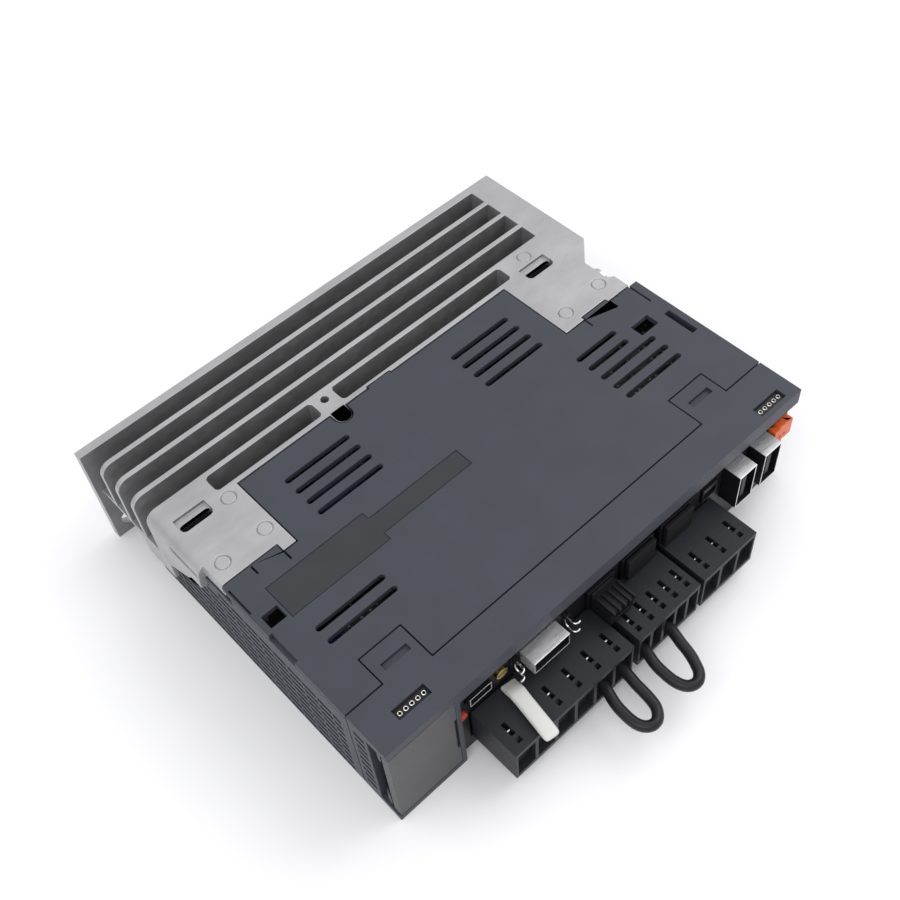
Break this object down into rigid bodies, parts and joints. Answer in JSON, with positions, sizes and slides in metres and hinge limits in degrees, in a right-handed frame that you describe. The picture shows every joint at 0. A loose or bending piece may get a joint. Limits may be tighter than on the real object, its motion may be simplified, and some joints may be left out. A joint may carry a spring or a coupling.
{
  "type": "servo drive",
  "caption": "Single-axis servo drive with a finned aluminium heatsink, dark plastic casing, hinged display door, spring-clamp power plugs and signal connectors",
  "frame": {"origin": "On the plane of the drive's left side, under the middle of the mounting plate's length and of the depth between the mounting face and the front face.", "axes": "+X points to the drive's bottom end, along the mounting plate. +Y points to the mounting face. +Z points to the drive's right side, so the drive lies on its left side as in the picture."},
  "size_m": [0.168, 0.1688, 0.042],
  "materials": {
    "cast_aluminium": "fine cast, light satin",
    "case_plastic": "dark slate grey, fine spark-eroded texture",
    "door_plastic": "dark grey, fine texture",
    "connector_plastic": "charcoal glass-filled nylon",
    "black_plastic": "black moulded",
    "wire_insulation": "black wire insulation",
    "cap_rubber": "soft black",
    "lever_plastic": "off-white acetal",
    "white_plastic": "white moulded",
    "orange_plastic": "orange nylon",
    "header_plastic": "off-white nylon",
    "connector_shell": "bright nickel-plated sheet",
    "latch_wire": "bright spring wire",
    "steel": "zinc-plated",
    "brass": "bright brass",
    "tinned_pins": "tin-plated copper alloy",
    "pcb": "green solder mask",
    "thermal_pad": "grey gap filler",
    "capacitor_sleeve": "dark blue sleeve",
    "film_capacitor": "ochre box film capacitor",
    "relay_case": "blue relay case",
    "ferrite": "dark ferrite and tape",
    "display_glass": "dark red filter face",
    "lamp_lens": "red lens",
    "label_field": "smooth dark grey film"
  },
  "bodies": {
    "drive": {"heatsink": "cast_aluminium", "rear_casing": "case_plastic", "right_cover": "case_plastic", "front_cover": "case_plastic", "door_pins": "steel", "power_board": "pcb", "control_board": "pcb", "display_board": "pcb", "board_link": "header_plastic", "standoffs": "brass", "power_module": "black_plastic", "thermal_pad": "thermal_pad", "module_pins": "tinned_pins", "bus_capacitors": "capacitor_sleeve", "film_capacitors": "film_capacitor", "inrush_relay": "relay_case", "filter_choke": "ferrite", "supply_transformer": "ferrite", "control_chips": "black_plastic", "power_header_1": "connector_plastic", "power_header_2": "connector_plastic", "power_header_3": "connector_plastic", "header_blades": "tinned_pins", "usb_socket": "connector_shell", "io_shell": "connector_shell", "connector_inserts": "black_plastic", "safety_socket": "black_plastic", "optical_sockets": "black_plastic", "small_headers": "black_plastic", "encoder_shells": "connector_shell", "service_headers": "black_plastic", "display_module": "display_glass", "selector_body": "black_plastic", "dip_body": "black_plastic", "charge_lamp": "lamp_lens", "rating_plate": "label_field", "m3_screws": "steel", "earth_screws": "steel", "panel_screw": "brass"},
    "door": {"display_door": "door_plastic"},
    "knob": {"selector_knob": "white_plastic"},
    "dip_1": {"dip_lever_1": "white_plastic"},
    "dip_2": {"dip_lever_2": "white_plastic"},
    "dip_3": {"dip_lever_3": "white_plastic"},
    "dip_4": {"dip_lever_4": "white_plastic"},
    "plug_1": {"power_plug_1": "connector_plastic", "plug_contacts_1": "steel", "jumper_1": "wire_insulation"},
    "plug_2": {"power_plug_2": "connector_plastic", "plug_contacts_2": "steel", "jumper_2": "wire_insulation"},
    "plug_3": {"power_plug_3": "connector_plastic", "plug_contacts_3": "steel"},
    "lever": {"opening_lever": "lever_plastic"},
    "latch_top": {"io_latch_top": "latch_wire"},
    "latch_bottom": {"io_latch_bottom": "latch_wire"},
    "safety_bridge": {"shorting_plug": "black_plastic"},
    "cap_1": {"optical_cap_1": "cap_rubber"},
    "cap_2": {"optical_cap_2": "cap_rubber"},
    "battery": {"battery_plug": "orange_plastic"}
  },
  "joints": [
    {"name": "door_hinge", "type": "hinge", "parent": "drive", "child": "door", "pos_m": [-0.0776, -0.0634, 0.0205], "axis": [0, 0, 1], "range_deg": [-100, 0]},
    {"name": "selector_turn", "type": "hinge", "parent": "drive", "child": "knob", "pos_m": [-0.0675, -0.0615, 0.0175], "axis": [0, -1, 0], "range_deg": [0, 337.5]},
    {"name": "dip_slide_1", "type": "slide", "parent": "drive", "child": "dip_1", "axis": [0, 0, 1], "range_m": [0, 0.0011]},
    {"name": "dip_slide_2", "type": "slide", "parent": "drive", "child": "dip_2", "axis": [0, 0, 1], "range_m": [0, 0.0011]},
    {"name": "dip_slide_3", "type": "slide", "parent": "drive", "child": "dip_3", "axis": [0, 0, 1], "range_m": [0, 0.0011]},
    {"name": "dip_slide_4", "type": "slide", "parent": "drive", "child": "dip_4", "axis": [0, 0, 1], "range_m": [0, 0.0011]},
    {"name": "plug_1_pull", "type": "slide", "parent": "drive", "child": "plug_1", "axis": [0, -1, 0], "range_m": [0, 0.02]},
    {"name": "plug_2_pull", "type": "slide", "parent": "drive", "child": "plug_2", "axis": [0, -1, 0], "range_m": [0, 0.02]},
    {"name": "plug_3_pull", "type": "slide", "parent": "drive", "child": "plug_3", "axis": [0, -1, 0], "range_m": [0, 0.02]},
    {"name": "lever_lift", "type": "hinge", "parent": "plug_1", "child": "lever", "pos_m": [-0.0382, -0.06758, 0.02], "axis": [0.9903, -0.1392, 0], "range_deg": [-18, 0]},
    {"name": "latch_top_swing", "type": "hinge", "parent": "drive", "child": "latch_top", "pos_m": [-0.0352, -0.067, 0.0273], "axis": [0, 0, 1], "range_deg": [-40, 0]},
    {"name": "latch_bottom_swing", "type": "hinge", "parent": "drive", "child": "latch_bottom", "pos_m": [-0.0162, -0.067, 0.0273], "axis": [0, 0, 1], "range_deg": [0, 40]},
    {"name": "safety_bridge_pull", "type": "slide", "parent": "drive", "child": "safety_bridge", "axis": [0, -1, 0], "range_m": [0, 0.012]},
    {"name": "cap_1_pull", "type": "slide", "parent": "drive", "child": "cap_1", "axis": [0, -1, 0], "range_m": [0, 0.01]},
    {"name": "cap_2_pull", "type": "slide", "parent": "drive", "child": "cap_2", "axis": [0, -1, 0], "range_m": [0, 0.01]},
    {"name": "battery_pull", "type": "slide", "parent": "drive", "child": "battery", "axis": [0, -1, 0], "range_m": [0, 0.012]}
  ]
}
